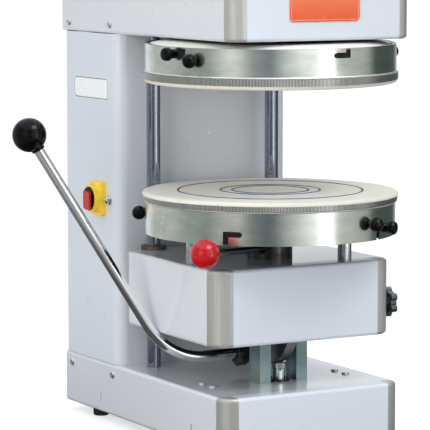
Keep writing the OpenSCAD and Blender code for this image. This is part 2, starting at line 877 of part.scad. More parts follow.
module motor_pulley() {
    color([0.5, 0.51, 0.53])
    translate([0, motor_y, 0]) {
        translate([0, 0, head_z + 9]) cylinder(r = 11, h = 75);
        difference() {
            translate([0, 0, belt_z - 9]) cylinder(r = motor_pulley_r + 5, h = 18);
            tube(motor_pulley_r + 20, motor_pulley_r, belt_z - 5, belt_z + 5);
        }
    }
}

module upper_plate() {
    color([0.85, 0.86, 0.87])
    tilted() difference() {
        union() {
            pan(up_face, up_z - 2, -1);
            translate([0, 0, up_face]) cylinder(r = 44, h = up_z - 5 - up_face);
            hull() {
                translate([0, 0, up_face]) cylinder(r = disc_r - 2, h = 0.5, $fn = 96);
                translate([cone_off, 0, up_face - cone_h]) cylinder(r = 5, h = 0.5, $fn = 24);
            }
            for (a = up_pins) radial(a, up_pin_z) bayonet_pin();
        }
        translate([0, 0, up_z - 31]) cylinder(r = 11 + run_gap, h = 40);
    }
}

module upper_knobs() {
    color([0.04, 0.04, 0.05])
    tilted() for (a = up_knobs) radial(a, up_pin_z) clamp_knob();
}

module upper_ring() {
    color([0.72, 0.74, 0.75])
    tilted() difference() {
        rotate_extrude() ring_section(up_z, up_bead, up_edge);
        for (a = concat(up_knobs, up_pins)) bayonet_slot(a, up_pin_z, -1);
        for (a = up_balls) radial(a, up_ball_z) cylinder(r = 4 + run_gap, h = 400);
    }
}

module upper_grips() {
    color([0.04, 0.04, 0.05])
    tilted() for (a = up_balls) radial(a, up_ball_z) ring_ball();
}

module upper_cloth() {
    color([0.88, 0.85, 0.77])
    tilted() {
        difference() {
            hull() {
                translate([0, 0, up_face - 0.4]) cylinder(r = rim_r, h = 6, $fn = 96);
                translate([cone_off, 0, up_face - cone_h - 2.2]) cylinder(r = 5, h = 0.5, $fn = 24);
            }
            hull() {
                translate([0, 0, up_face - 0.4]) cylinder(r = ring_r - 1.5, h = 20, $fn = 96);
                translate([cone_off, 0, up_face - cone_h - 0.5]) cylinder(r = 5, h = 0.5, $fn = 24);
            }
        }
        tube(ring_r + 0.1 + cloth_t, ring_r + 0.1, up_face + 3, up_bead - 1.8);
    }
}

module upper_band() {
    color([0.68, 0.7, 0.71]) tilted() band(up_bead - 1.7 - band_h);
}

place() feet();
place() base_cover();
place() base_front_panel();
place() base_posts();
place() base_floor();
place() back_panels();
place() base_chassis();
place() column_shell();
place() guide_rods();
place() rest_blocks();
place() rest_pads();
place() lift_post();
place() post_flange();
place() head_cover();
place() head_front_panel();
place() head_posts();
place() head_floor();
place() head_chassis();
place() front_plate();
place() side_label();
place() motor();
place() bearing_housing();
place() spindle_bearings();
place() belt();
place() switch_body();
place() switch_disc();
place() switch_handle();
place() cover_bolt();
place() panel_screws();
place() carriage_cover();
place() carriage_front_panel();
place() carriage_back_panel();
place() carriage_posts();
place() carriage_chassis();
place() bronze_bushes();
place() shaft_brackets();
place() plate_hub();
place() plate_rests();
place() star_knob();
place() lever_rod();
place() lever_ball();
place() lever_shaft();
place() lift_cam();
place() adjust_collar();
place() adjust_rod();
place() adjust_ball();
place() lower_plate();
place() lower_knobs();
place() lower_ring();
place() lower_grips();
place() lower_cloth();
place() lower_band();
place() upper_spindle();
place() motor_pulley();
place() upper_plate();
place() upper_knobs();
place() upper_ring();
place() upper_grips();
place() upper_cloth();
place() upper_band();
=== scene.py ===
"""Looks of the pizza dough press: materials, cloth covers, upper lid, studio and camera."""

import json
import math

import bmesh
import bpy
from mathutils import Matrix, Vector


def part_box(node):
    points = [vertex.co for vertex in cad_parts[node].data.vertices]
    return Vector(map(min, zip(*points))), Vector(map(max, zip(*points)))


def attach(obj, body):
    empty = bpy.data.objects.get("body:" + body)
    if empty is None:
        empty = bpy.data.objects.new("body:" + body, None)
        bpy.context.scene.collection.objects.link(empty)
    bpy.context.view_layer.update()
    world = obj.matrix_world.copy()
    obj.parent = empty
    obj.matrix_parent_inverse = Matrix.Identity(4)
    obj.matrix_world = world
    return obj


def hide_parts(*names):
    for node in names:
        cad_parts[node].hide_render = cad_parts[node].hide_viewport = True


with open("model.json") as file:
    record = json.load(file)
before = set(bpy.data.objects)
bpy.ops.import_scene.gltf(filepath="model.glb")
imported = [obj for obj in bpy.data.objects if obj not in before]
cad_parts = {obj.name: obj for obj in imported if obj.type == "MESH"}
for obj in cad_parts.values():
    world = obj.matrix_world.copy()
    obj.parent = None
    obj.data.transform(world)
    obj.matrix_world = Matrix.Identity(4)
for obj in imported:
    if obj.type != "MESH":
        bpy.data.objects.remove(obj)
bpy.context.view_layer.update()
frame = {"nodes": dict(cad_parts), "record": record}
NODES = frame["nodes"]
SCENE = bpy.context.scene
FULL_TURN = 2 * math.pi

# The work axis is the upright middle line of both plates, in metres
_hub_low, _hub_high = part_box("plate_hub")
AXIS_X = (_hub_low.x + _hub_high.x) / 2
AXIS_Y = (_hub_low.y + _hub_high.y) / 2

# The upper plate's leaning axis at rest, from the joint it turns on
_turn = next(j for j in frame["record"]["behaviour"]["joints"]
             if j["name"] == "plate_counter_turn")
PIVOT = Vector(_turn["pos_m"])
_tilt = Vector((0, 0, 1)).rotation_difference(Vector(_turn["axis"])).to_matrix().to_4x4()
LEAN = Matrix.Translation(PIVOT) @ _tilt @ Matrix.Translation(-PIVOT)


def point_mm(x, y, z):
    """A point given in millimetres from the work axis and the table, in the CAD frame."""
    return Vector((AXIS_X + x / 1000, AXIS_Y + y / 1000, z / 1000))


def srgb(r, g, b):
    """A colour given as 0-255 screen values, as the linear values that shaders take."""
    def one(v):
        v /= 255
        return v / 12.92 if v <= 0.04045 else ((v + 0.055) / 1.055) ** 2.4
    return (one(r), one(g), one(b), 1.0)


# Materials

# A Mix node's colour sockets share their names with its number sockets, so they go by place
MIX_FACTOR, MIX_A, MIX_B, MIX_RESULT = 0, 6, 7, 2


class Shader:
    """A node material with a Principled shader, and short calls for the nodes it needs."""

    def __init__(self, name):
        self.mat = bpy.data.materials.new(name)
        self.mat.use_nodes = True
        self.tree = self.mat.node_tree
        self.bsdf = self.tree.nodes["Principled BSDF"]

    def feed(self, socket, value):
        """Gives a socket a constant, or links another node's output to it."""
        if isinstance(value, (int, float, tuple)):
            socket.default_value = value
        else:
            self.tree.links.new(value, socket)

    def add(self, kind, inputs=None, **settings):
        node = self.tree.nodes.new(kind)
        for key, value in settings.items():
            setattr(node, key, value)
        for key, value in (inputs or {}).items():
            self.feed(node.inputs[key], value)
        return node

    def set(self, **values):
        """Sets constants on the Principled shader; an underscore stands for a space."""
        for key, value in values.items():
            self.bsdf.inputs[key.replace("_", " ")].default_value = value

    def link(self, output, name):
        self.tree.links.new(output, self.bsdf.inputs[name])

    def coords(self, scale=(1, 1, 1), shift=(0, 0, 0)):
        place = self.add("ShaderNodeTexCoord").outputs["Object"]
        node = self.add("ShaderNodeMapping", {"Scale": scale, "Location": shift, "Vector": place})
        return node.outputs["Vector"]

    def combine(self, scale, **parts):
        """A scaled vector from single coordinates."""
        whole = self.add("ShaderNodeCombineXYZ", parts).outputs[0]
        return self.add("ShaderNodeMapping", {"Scale": scale, "Vector": whole}).outputs["Vector"]

    def split(self, vector):
        node = self.add("ShaderNodeSeparateXYZ", {"Vector": vector})
        return [node.outputs[axis] for axis in "XYZ"]

    def noise(self, vector, scale, detail=3.0, rough=0.5):
        node = self.add("ShaderNodeTexNoise", {"Vector": vector, "Scale": scale,
                                               "Detail": detail, "Roughness": rough})
        return node.outputs["Fac"]

    def calc(self, operation, *values):
        node = self.add("ShaderNodeMath", operation=operation)
        for socket, value in zip(node.inputs, values):
            self.feed(socket, value)
        return node.outputs[0]

    def mix(self, factor, a, b):
        node = self.add("ShaderNodeMix", {MIX_FACTOR: factor, MIX_A: a, MIX_B: b},
                        data_type="RGBA")
        return node.outputs[MIX_RESULT]

    def ramp(self, factor, low, high, start=0.35, end=0.65):
        """Colour from low to high as factor goes from start to end."""
        node = self.add("ShaderNodeValToRGB", {"Fac": factor})
        for mark, place, colour in zip(node.color_ramp.elements, (start, end), (low, high)):
            mark.position = place
            mark.color = colour
        return node.outputs["Color"]

    def span(self, factor, low, high, start=0.0, end=1.0):
        """A number from low to high as factor goes from start to end."""
        node = self.add("ShaderNodeMapRange", {"Value": factor, "From Min": start, "From Max": end,
                                               "To Min": low, "To Max": high})
        return node.outputs[0]

    def bump(self, height, strength, distance):
        node = self.add("ShaderNodeBump", {"Height": height, "Strength": strength,
                                           "Distance": distance})
        self.link(node.outputs["Normal"], "Normal")

    def length(self, x, y):
        squares = [self.calc("MULTIPLY", part, part) for part in (x, y)]
        return self.calc("SQRT", self.calc("ADD", *squares))

    def turn(self, x, y):
        """Direction of (x, y) as a share of a turn, 0.5 along x."""
        return self.calc("ADD", self.calc("DIVIDE", self.calc("ARCTAN2", y, x), FULL_TURN), 0.5)

    def radial(self):
        """Distance from the work axis, direction around it as a share of a turn, and height."""
        x, y, z = self.split(self.coords(shift=(-AXIS_X, -AXIS_Y, 0)))
        return self.length(x, y), self.turn(x, y), z


def paint(name, low, high, rough=0.28, coat=0.35):
    """Smooth factory paint: slight unevenness in tone and gloss, fine orange peel."""
    s = Shader(name)
    v = s.coords()
    tone = s.noise(v, scale=1.3, detail=4.0, rough=0.6)
    s.link(s.ramp(tone, low, high, start=0.0, end=1.0), "Base Color")
    gloss = s.noise(v, scale=40.0, detail=4.0)
    s.link(s.span(gloss, rough - 0.015, rough + 0.015), "Roughness")
    s.set(Coat_Weight=coat, Coat_Roughness=0.05)
    s.bump(s.noise(v, scale=520.0, detail=2.0), strength=0.02, distance=0.0003)
    return s.mat


def metal(name, low, high, rough, spread=0.06, scale=90.0, bump=0.04):
    """Bright metal with fine marks."""
    s = Shader(name)
    marks = s.noise(s.coords(), scale, detail=4.0, rough=0.6)
    s.link(s.ramp(marks, low, high, start=0.3, end=0.7), "Base Color")
    s.link(s.span(marks, rough - spread / 2, rough + spread), "Roughness")
    s.set(Metallic=1.0)
    s.bump(marks, strength=bump, distance=0.0004)
    return s.mat


def plastic(name, low, high, rough, coat=0.0, peel=0.04, gloss=0.5):
    """Moulded plastic: slight tone changes, faint flow marks in the gloss."""
    s = Shader(name)
    v = s.coords()
    tone = s.noise(v, scale=60.0, detail=4.0)
    s.link(s.ramp(tone, low, high), "Base Color")
    s.link(s.span(tone, rough, rough + 0.1), "Roughness")
    s.set(Coat_Weight=coat, Coat_Roughness=0.04, Specular_IOR_Level=gloss)
    s.bump(s.noise(v, scale=300.0), strength=peel, distance=0.0004)
    return s.mat


def post_metal():
    """Anodised corner profile with fine upright lines."""
    s = Shader("anodised_post")
    lines = s.noise(s.coords(scale=(260, 260, 1.2)), scale=4.0, rough=0.65)
    colour = s.ramp(lines, srgb(176, 176, 171), srgb(204, 203, 198), start=0.25, end=0.75)
    s.link(colour, "Base Color")
    s.link(s.span(lines, 0.34, 0.48), "Roughness")
    s.set(Metallic=0.6)
    s.bump(lines, strength=0.12, distance=0.0004)
    return s.mat


# A cloth ring's bead stands out from its wall: the radii where it starts and where it is full
BEAD_START, BEAD_FULL = 0.2112, 0.2115


def ring_metal(name, low, high, rough):
    """Turned steel: marks that run around the ring, and a duller bead painted near white as a
    painted highlight.
    """
    s = Shader(name)
    r, a, z = s.radial()
    around = s.combine((900, 1, 900), X=r, Y=s.calc("MULTIPLY", a, 3.0), Z=z)
    marks = s.noise(around, scale=2.2, rough=0.6)
    patches = s.noise(s.coords(scale=(1, 1, 2.5)), scale=16.0, detail=4.0, rough=0.6)
    wall = s.mix(s.span(patches, 0.0, 1.0, start=0.35, end=0.65), low, high)
    bead = s.span(r, 0.0, 1.0, start=BEAD_START, end=BEAD_FULL)
    # Painted highlight: the bead is painted near white, standing in for the bright line of light
    # along it.
    s.link(s.mix(bead, wall, srgb(250, 250, 246)), "Base Color")
    duller = s.calc("MULTIPLY", bead, 0.35)
    s.link(s.calc("ADD", s.span(marks, rough - 0.03, rough + 0.06), duller), "Roughness")
    s.set(Metallic=1.0)
    s.bump(marks, strength=0.08, distance=0.0003)
    return s.mat


def plate_metal(name, face_low, face_high, rough, metallic, gloss):
    """Cast plate: flat faces with turning marks, side walls painted near black as painted shade."""
    s = Shader(name)
    r, a, _ = s.radial()
    marks = s.noise(s.combine((700, 2, 1), X=r, Y=a), scale=2.0, rough=0.6)
    _, _, up = s.split(s.add("ShaderNodeNewGeometry").outputs["Normal"])
    flat = s.span(s.calc("ABSOLUTE", up), 0.0, 1.0, start=0.6, end=0.9)
    face = s.ramp(marks, face_low, face_high, start=0.2, end=0.8)
    # Painted shade: faces that are not level get a near black colour, standing in for the shade
    # seen through the slots in the rings.
    s.link(s.mix(flat, srgb(38, 40, 42), face), "Base Color")
    s.link(s.span(marks, rough - 0.05, rough + 0.08), "Roughness")
    s.set(Metallic=metallic, Specular_IOR_Level=gloss)
    s.bump(marks, strength=0.05, distance=0.0003)
    return s.mat


BAND_RIBS = 570


def band_metal():
    """Clamp band pressed with fine upright ribs, with painted shade in the grooves between them."""
    s = Shader("ribbed_band")
    _, a, _ = s.radial()
    wave = s.calc("SINE", s.calc("MULTIPLY", a, FULL_TURN * BAND_RIBS))
    rib = s.span(wave, 0.0, 1.0, start=-0.5, end=0.7)
    # Painted shade: the grooves between the ribs are painted dark grey, the rib tops pale.
    s.link(s.mix(rib, srgb(86, 89, 90), srgb(228, 229, 226)), "Base Color")
    s.link(s.span(s.noise(s.coords(), scale=60.0), 0.22, 0.36), "Roughness")
    s.set(Metallic=1.0)
    s.bump(rib, strength=0.4, distance=0.0008)
    return s.mat


def zinc():
    """Passivated zinc: bluish, with faint yellow-green patches."""
    s = Shader("zinc_plate")
    tone = s.noise(s.coords(), scale=24.0)
    patches = s.noise(s.coords(shift=(3, 1, 2)), scale=38.0, detail=2.0)
    cool = s.mix(s.span(tone, 0.0, 1.0, start=0.35, end=0.65),
                 srgb(128, 156, 162), srgb(152, 174, 178))
    warm = s.span(patches, 0.0, 0.6, start=0.5, end=0.8)
    s.link(s.mix(warm, cool, srgb(168, 174, 124)), "Base Color")
    s.link(s.span(tone, 0.24, 0.38), "Roughness")
    s.set(Metallic=1.0)
    s.bump(patches, strength=0.06, distance=0.0005)
    return s.mat


# Guide cords sewn into the lower cloth: radii, half width and height, in millimetres
CORD_CIRCLES = (155.0, 83.5, 64.0)
CORD_HALF = 2.1
CORD_RISE = 1.2

WEAVE_PITCH = 0.0011  # metres


def cloth(name, circles=()):
    """Plain-woven cotton; circles are the radii of dyed guide cords, in millimetres."""
    s = Shader(name)
    x, y, _ = s.split(s.coords())
    warp, weft = [s.calc("SINE", s.calc("MULTIPLY", part, FULL_TURN / WEAVE_PITCH))
                  for part in (x, y)]
    weave = s.calc("MULTIPLY", warp, weft)
    tone = s.noise(s.coords(), scale=14.0, detail=4.0)
    fine = s.noise(s.coords(), scale=600.0, detail=2.0)
    base = s.ramp(tone, srgb(224, 219, 204), srgb(232, 227, 212), start=0.3, end=0.7)
    base = s.mix(s.span(weave, 0.0, 0.14, start=-1.0, end=1.0), base, srgb(196, 189, 170))
    if circles:
        r, _, _ = s.radial()
        wobble = s.calc("MULTIPLY", s.calc("SUBTRACT", tone, 0.5), 0.002)
        half = CORD_HALF / 1000
        line = 0.0
        for radius in circles:
            off = s.calc("SUBTRACT", s.calc("ADD", r, wobble), radius / 1000)
            one = s.span(s.calc("ABSOLUTE", off), 1.0, 0.0, start=half * 0.8, end=half)
            line = s.calc("MAXIMUM", line, one)
        dye = s.calc("MULTIPLY", line, s.span(fine, 0.85, 1.0, start=0.3, end=0.6))
        base = s.mix(dye, base, srgb(10, 24, 124))
    s.link(base, "Base Color")
    s.set(Roughness=0.9, Sheen_Weight=0.15, Sheen_Roughness=0.5)
    threads = s.calc("ADD", weave, s.calc("MULTIPLY", fine, 1.5))
    s.bump(threads, strength=0.35, distance=0.0004)
    return s.mat


panel = paint("pale_grey_paint", srgb(211, 213, 216), srgb(217, 219, 222), coat=0.9)
# Painted light: the front panels get a lighter, bluer copy of the pale paint, standing in for the
# bluish light on the fronts.
lit_front_paint = paint("pale_paint_lit_fronts", srgb(213, 217, 223), srgb(219, 223, 229))
# Painted shade: the column's paint is a bluer copy of the pale paint, standing in for the bluish
# shade on the column's front.
shell = paint("column_paint_blue_shade", srgb(208, 212, 218), srgb(214, 218, 224))
posts = post_metal()
inner = metal("plain_steel", srgb(120, 122, 126), srgb(150, 152, 156), rough=0.35)
screw_metal = metal("screw_metal", srgb(214, 216, 218), srgb(236, 238, 240),
                    rough=0.36, scale=300.0)
knob_metal = metal("knob_metal", srgb(96, 100, 108), srgb(140, 144, 150), rough=0.22)
floor_steel = metal("inner_sheet", srgb(150, 152, 155), srgb(170, 172, 174), rough=0.4)
POLISHED = {"spread": 0.03, "scale": 140.0, "bump": 0.012}
lever_chrome = metal("lever_chrome", srgb(246, 247, 249), srgb(253, 253, 254),
                     rough=0.15, **POLISHED)
chrome = metal("chrome", srgb(214, 217, 224), srgb(230, 233, 238), rough=0.06, **POLISHED)
# Painted shade: the guide rods' chrome is darker and bluer than the other chrome, standing in for
# the dark surroundings they mirror.
darkened_rod_chrome = metal("darkened_rod_chrome", srgb(142, 148, 164), srgb(158, 164, 178), rough=0.06, **POLISHED)
steel = ring_metal("ring_steel", srgb(206, 218, 214), srgb(234, 236, 228), rough=0.17)
band = band_metal()
# Painted shade: the lower plate's faces are painted dark grey, standing in for the shadow on its
# underside.
shaded_lower_plate = plate_metal("turned_plate", srgb(44, 46, 48), srgb(58, 60, 62),
                   rough=0.35, metallic=0.8, gloss=0.5)
satin = plate_metal("satin_plate", srgb(228, 226, 218), srgb(240, 238, 230),
                    rough=0.8, metallic=0.0, gloss=0.1)
zinc_plate = zinc()
bronze = metal("sintered_bronze", srgb(98, 92, 84), srgb(126, 117, 104),
               rough=0.4, spread=0.15, scale=160.0)
black = plastic("black_plastic", srgb(4, 4, 6), srgb(9, 9, 11), rough=0.06, peel=0.02, gloss=0.22)
red = plastic("red_plastic", srgb(178, 6, 16), srgb(192, 10, 22), rough=0.08, coat=0.1, peel=0.02)
dark = paint("black_paint", srgb(8, 8, 10), srgb(14, 14, 16), rough=0.2, coat=0.3)
rubber = plastic("black_rubber", srgb(14, 14, 14), srgb(24, 24, 24), rough=0.6, peel=0.15)
yellow = plastic("switch_yellow", srgb(255, 206, 40), srgb(255, 218, 60), rough=0.3, coat=0.2)
grip_red = plastic("switch_red", srgb(176, 34, 24), srgb(200, 46, 34), rough=0.3, coat=0.2)
motor_paint = paint("motor_paint", srgb(70, 74, 80), srgb(86, 90, 96), rough=0.45, coat=0.0)
plain_cloth = cloth("cotton_upper")
ruled_cloth = cloth("cotton_lower", CORD_CIRCLES)


def dress(node, material):
    """Gives a CAD node its material."""
    mesh = NODES[node].data
    mesh.materials.clear()
    mesh.materials.append(material)


for _material, _nodes in (
        (panel, ["base_cover", "head_cover", "carriage_cover", "carriage_back_panel",
                 "back_panels"]),
        (lit_front_paint, ["base_front_panel", "head_front_panel", "carriage_front_panel"]),
        (shell, ["column_shell"]),
        (posts, ["base_posts", "head_posts", "carriage_posts"]),
        (inner, ["base_chassis", "head_chassis", "bearing_housing", "lift_cam", "upper_spindle",
                 "motor_pulley"]),
        (screw_metal, ["panel_screws"]),
        (knob_metal, ["star_knob"]),
        (floor_steel, ["base_floor", "head_floor"]),
        (darkened_rod_chrome, ["guide_rods"]),
        (lever_chrome, ["lever_rod"]),
        (chrome, ["lift_post", "plate_rests", "lever_shaft", "cover_bolt", "spindle_bearings"]),
        (steel, ["lower_ring", "upper_ring"]),
        (band, ["lower_band", "upper_band"]),
        (shaded_lower_plate, ["lower_plate"]),
        (satin, ["upper_plate"]),
        (zinc_plate, ["rest_blocks", "adjust_rod"]),
        (bronze, ["bronze_bushes"]),
        (black, ["lever_ball", "lower_knobs", "upper_knobs", "lower_grips", "upper_grips",
                 "switch_disc"]),
        (red, ["adjust_ball"]),
        (dark, ["post_flange", "carriage_chassis", "shaft_brackets", "plate_hub",
                "adjust_collar"]),
        (rubber, ["feet", "rest_pads", "belt"]),
        (yellow, ["switch_body"]),
        (grip_red, ["switch_handle"]),
        (motor_paint, ["motor"]),
        (plain_cloth, ["lower_cloth", "upper_cloth"])):
    for _node in _nodes:
        dress(_node, _material)


def blank_plate(node, name, top, foot, edge, corner, inset, width, axes):
    """Dresses a blank plate or label, with painted shade that darkens it from top to foot, and a
    border line.

    The line's corner radius, distance from the edge and width are in metres. axes are the two
    coordinates across the plate, the upright one last.
    """
    low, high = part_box(node)
    places = ["XYZ".index(axis) for axis in axes]
    centre = [((low + high) / 2)[i] for i in places]
    half = [((high - low) / 2)[i] for i in places]
    s = Shader(name)
    parts = s.split(s.coords())
    across = [parts[i] for i in places]
    past = [s.calc("SUBTRACT", s.calc("ABSOLUTE", s.calc("SUBTRACT", part, c)), h - corner)
            for part, c, h in zip(across, centre, half)]
    outside = s.length(*[s.calc("MAXIMUM", q, 0.0) for q in past])
    inside = s.calc("MINIMUM", s.calc("MAXIMUM", *past), 0.0)
    depth = s.calc("SUBTRACT", corner, s.calc("ADD", outside, inside))
    off = s.calc("ABSOLUTE", s.calc("SUBTRACT", depth, inset + width / 2))
    line = s.span(off, 1.0, 0.0, start=width * 0.4, end=width * 0.6)
    tone = s.noise(s.coords(), scale=30.0)
    rise = s.span(across[1], 0.0, 1.0, start=centre[1] - half[1], end=centre[1] + half[1])
    uneven = s.span(tone, -0.06, 0.06, start=0.3, end=0.7)
    # Painted shade: the colour runs from the foot colour up to the top colour, darker at the foot.
    shade = s.mix(s.calc("ADD", rise, uneven), foot, top)
    s.link(s.mix(line, shade, edge), "Base Color")
    s.link(s.span(tone, 0.22, 0.32), "Roughness")
    s.bump(s.noise(s.coords(), scale=350.0), strength=0.03, distance=0.0003)
    dress(node, s.mat)


blank_plate("front_plate", "orange_plate",
            top=srgb(238, 128, 84), foot=srgb(226, 84, 34), edge=srgb(240, 160, 120),
            corner=0.004, inset=0.0022, width=0.0012, axes="XZ")
blank_plate("side_label", "blank_label",
            top=srgb(240, 241, 238), foot=srgb(236, 238, 235), edge=srgb(76, 146, 104),
            corner=0.010, inset=0.0012, width=0.0018, axes="YZ")


# Pieces

def add_object(name, build, material, smooth=True):
    """A new mesh object; build fills its bmesh."""
    bm = bmesh.new()
    build(bm)
    mesh = bpy.data.meshes.new(name)
    bm.to_mesh(mesh)
    bm.free()
    for p in mesh.polygons:
        p.use_smooth = smooth
    obj = bpy.data.objects.new(name, mesh)
    SCENE.collection.objects.link(obj)
    mesh.materials.append(material)
    return obj


def skin_rings(bm, rings, tip):
    """Joins rings of points, each a list of the same length, into quads, and closes them to tip."""
    loops = [[bm.verts.new(p) for p in ring] for ring in rings]
    count = len(loops[0])
    steps = [(i, (i + 1) % count) for i in range(count)]
    for a, b in zip(loops, loops[1:]):
        for i, j in steps:
            bm.faces.new((a[i], a[j], b[j], b[i]))
    if tip is not None:
        point = bm.verts.new(tip)
        for i, j in steps:
            bm.faces.new((point, loops[0][j], loops[0][i]))
    bmesh.ops.recalc_face_normals(bm, faces=bm.faces)


def add_thin(name, rings, tip, material, thickness):
    """A thin piece from rings of points, which are its outer side. thickness is in metres."""
    obj = add_object(name, lambda bm: skin_rings(bm, rings, tip), material)
    solid = obj.modifiers.new("thickness", "SOLIDIFY")
    solid.thickness = thickness
    solid.offset = -1
    return obj


AROUND = 192  # points in a ring
RIPPLE = 0.35  # of a cloth's edge, in millimetres
RIPPLE_WAVES = ((37, 1.0, 0.0), (61, 0.6, 1.0), (23, 0.4, 2.0))  # count, share, shift


def ring_points(profile, tilt=None):
    """Rings of points around the work axis, or around a tilted one.

    profile has a row for each ring: radius, height and offset of its middle along x in
    millimetres, and its share of the ripple.
    """
    rings = []
    for radius, height, offset, share in profile:
        ring = []
        for i in range(AROUND):
            a = FULL_TURN * i / AROUND
            wave = share * RIPPLE * sum(size * math.sin(a * count + shift)
                                        for count, size, shift in RIPPLE_WAVES)
            reach = radius + wave
            p = point_mm(offset + reach * math.cos(a), reach * math.sin(a), height + 0.5 * wave)
            ring.append(p if tilt is None else tilt @ p)
        rings.append(ring)
    return rings


# Lower cloth, in millimetres: radii of the rings on its flat part, which lies a little under the
# top of the CAD solid, and places across a cord as shares of its half width
FLAT_RADII = (4, 20, 40, 75, 100, 120, 140, 170, 190, 203)
FLAT_DROP = 0.2
CORD_STEPS = (-1, -0.6, 0, 0.6, 1)
# Its edge bulges over the clamp band's top, folds back and goes down behind the band: radius,
# drop below the solid's top, share of the ripple
HEM = ((206.5, 0.2, 0.0), (209.5, 0.45, 0.2), (212.0, 1.3, 0.4), (213.6, 2.6, 0.2),
       (214.2, 4.0, 0.0), (214.35, 5.6, 0.0), (214.25, 6.4, 0.0), (213.95, 6.8, 0.0),
       (213.6, 6.4, 0.0), (213.5, 5.6, 0.0), (213.5, 4.0, 0.0), (213.35, 3.45, 0.0),
       (212.9, 3.25, 0.0), (212.2, 3.25, 0.0), (211.75, 3.35, 0.0), (211.55, 3.9, 0.0),
       (211.5, 5.0, 0.0))
BEHIND_BAND = 211.5
# The part of it outside the band is kept short at the band's screw lug: where that part starts,
# the lug's direction, half width and easing in degrees, and the share of the drop kept there
OUTSIDE_BAND = 212.9
OUTSIDE_DROP = 3.5
LUG_AT, LUG_HALF, LUG_EASE = 90, 4.8, 3
LUG_SHARE = 0.15
LOWER_THICKNESS = 0.0004  # metres


def lower_cover():
    """Cloth stretched over the lower plate."""
    low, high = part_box("lower_cloth")
    top, foot = high.z * 1000, low.z * 1000
    flat = top - FLAT_DROP
    profile = [(r, flat, 0, 0.0) for r in FLAT_RADII]
    for r in CORD_CIRCLES:
        profile += [(r + CORD_HALF * k, flat + CORD_RISE * (1 - k * k), 0, 0.0)
                    for k in CORD_STEPS]
    profile.sort()
    profile += [(r, top - drop, 0, share) for r, drop, share in HEM]
    profile += [(BEHIND_BAND, foot + 1, 0, 0.0), (BEHIND_BAND, foot, 0, 0.0)]
    rings = ring_points(profile)
    fold = (top - OUTSIDE_DROP) / 1000
    for p in (p for ring in rings for p in ring):
        x, y = p.x - PIVOT.x, p.y - PIVOT.y
        if math.hypot(x, y) > OUTSIDE_BAND / 1000 and p.z < fold:
            from_lug = abs(math.degrees(math.atan2(y, x)) - LUG_AT)
            ease = min(1.0, max(0.0, (from_lug - LUG_HALF) / LUG_EASE))
            p.z = fold - (LUG_SHARE + (1 - LUG_SHARE) * ease) * (fold - p.z)
    obj = add_thin("lower_cloth_cover", rings, point_mm(0, 0, flat), ruled_cloth, LOWER_THICKNESS)
    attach(obj, "lower_ring")
    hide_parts("lower_cloth")
    return obj


# Upper cloth, in millimetres: its cone starts from a face above the pivot, and the tip is off
# the axis. Places along the cone are shares of the way from the tip to the rim
UPPER_FACE = 15.6
CONE_DEPTH = 17.6
CONE_OFFSET = 46.0
CONE_RIM = 211.2
CONE_STEPS = (0.08, 0.16, 0.26, 0.38, 0.5, 0.62, 0.74, 0.86, 0.94)
# The tip is blunt: the place of its ring, and the share of the depth at that ring and the tip
TIP_STEP, TIP_RING_DEPTH, TIP_DEPTH = 0.03, 0.965, 0.97
# Its edge turns up around the plate: radius, height above the face, share of the ripple
UPPER_EDGE = ((206.5, -0.2, 0.0), (208.6, 0.4, 0.2), (210.3, 1.6, 0.4), (CONE_RIM, 3.4, 0.6),
              (CONE_RIM + 0.2, 6, 0.3), (CONE_RIM + 0.2, 12, 0.0), (CONE_RIM + 0.2, 17.2, 0.0))
UPPER_THICKNESS = 0.0005  # metres


def upper_cover():
    """Cloth stretched over the cone of the upper plate."""
    face = PIVOT.z * 1000 + UPPER_FACE
    shares = [(TIP_STEP, TIP_RING_DEPTH)] + [(k, 1 - k) for k in CONE_STEPS]
    profile = [(CONE_RIM * k, face - CONE_DEPTH * depth, CONE_OFFSET * (1 - k), 0.0)
               for k, depth in shares]
    profile += [(r, face + rise, 0, share) for r, rise, share in UPPER_EDGE]
    rings = ring_points(profile, LEAN)
    tip = LEAN @ point_mm(CONE_OFFSET, 0, face - CONE_DEPTH * TIP_DEPTH)
    obj = add_thin("upper_cloth_cover", rings, tip, plain_cloth, UPPER_THICKNESS)
    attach(obj, "upper_ring")
    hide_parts("upper_cloth")
    return obj


# Upper lid, in millimetres: height of the plate's back above the pivot, then radius and rise
LID_SEAT = 78.5
LID = ((118, 7.2), (140, 7.0), (160, 6.6), (170, 6.3), (176, 6.0), (182, 5.3), (188, 4.3),
       (196, 2.5), (203.4, 0.7))
LID_THICKNESS = 0.0006  # metres


def upper_lid():
    """Thin dished lid on the upper plate, under the head."""
    back = PIVOT.z * 1000 + LID_SEAT
    rings = ring_points([(r, back + rise, 0, 0.0) for r, rise in LID], LEAN)
    obj = add_thin("upper_lid", rings, None, satin, LID_THICKNESS)
    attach(obj, "upper_plate")


upper_lid()
for _cover, _plate in ((lower_cover(), "lower_plate"), (upper_cover(), "upper_plate")):
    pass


# Stage

FLOOR_REACH = 60
FLOOR_TONES = (0.5, 0.5, 0.5, 1), (0.505, 0.505, 0.505, 1)
FLOOR_GLOW = 0.62


def floor_material():
    """Pale floor that keeps shadows; its glow lifts it to white for the camera and reflections."""
    s = Shader("pale_floor")
    s.link(s.ramp(s.noise(s.coords(), scale=2.0), *FLOOR_TONES), "Base Color")
    s.set(Roughness=0.9, Specular_IOR_Level=0.1, Emission_Color=(1, 1, 1, 1))
    path = s.add("ShaderNodeLightPath")
    seen = s.calc("MAXIMUM", path.outputs["Is Camera Ray"], path.outputs["Is Glossy Ray"])
    s.link(s.calc("MULTIPLY", seen, FLOOR_GLOW), "Emission Strength")
    return s.mat


